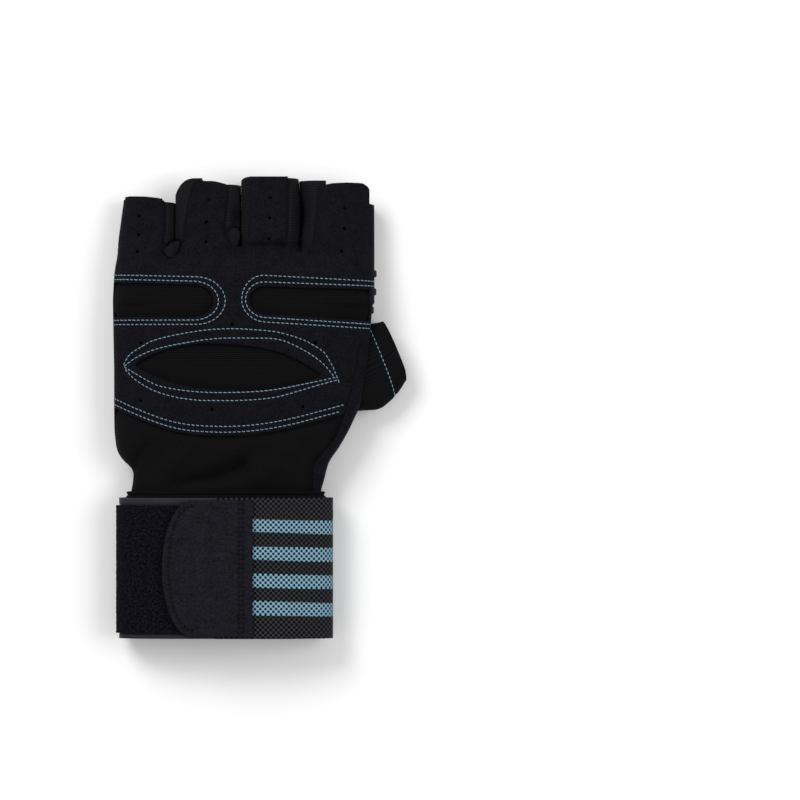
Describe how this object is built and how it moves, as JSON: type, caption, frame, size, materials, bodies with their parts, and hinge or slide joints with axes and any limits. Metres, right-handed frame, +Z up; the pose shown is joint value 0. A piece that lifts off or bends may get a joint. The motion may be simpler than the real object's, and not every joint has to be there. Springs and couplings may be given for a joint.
{
  "type": "weightlifting glove",
  "caption": "Fingerless left-hand weightlifting glove: suede back and palm, knit gussets and inserts, short thumb, and a striped elastic wrist strap closed by a suede tab.",
  "frame": {"origin": "middle of the footprint, on the surface that the palm lies on", "axes": "+Y from the wrist to the fingertips, +X to the thumb side, +Z up out of the back of the hand"},
  "size_m": [0.1233, 0.1944, 0.0268],
  "materials": {
    "suede": "short napped microfibre suede, matt",
    "knit": "fine rib stretch knit, matt",
    "cuff_knit": "lined stretch knit, matt",
    "binding_tape": "woven tape with a bound edge, slight sheen",
    "loop_pile": "loop pile of a touch fastener, matt",
    "elastic": "wide woven elastic with four blue stripes",
    "hook_tape": "hook face of a touch fastener",
    "thread": "spun polyester sewing thread, light blue",
    "grip": "soft printed silicone dots"
  },
  "bodies": {
    "root": {"back_panel": "suede", "palm_panel": "suede", "gusset_little_ring": "knit", "gusset_ring_middle": "knit", "gusset_middle_index": "knit", "side_insert_little": "knit", "side_insert_index": "knit", "back_lens_insert": "knit", "heel_panel": "knit", "thumb_stall": "knit", "cuff": "cuff_knit", "loop_strap": "binding_tape", "loop_patch": "loop_pile", "elastic_band": "elastic", "hook_patch": "hook_tape", "strap_tab": "suede"}
  },
  "joints": []
}
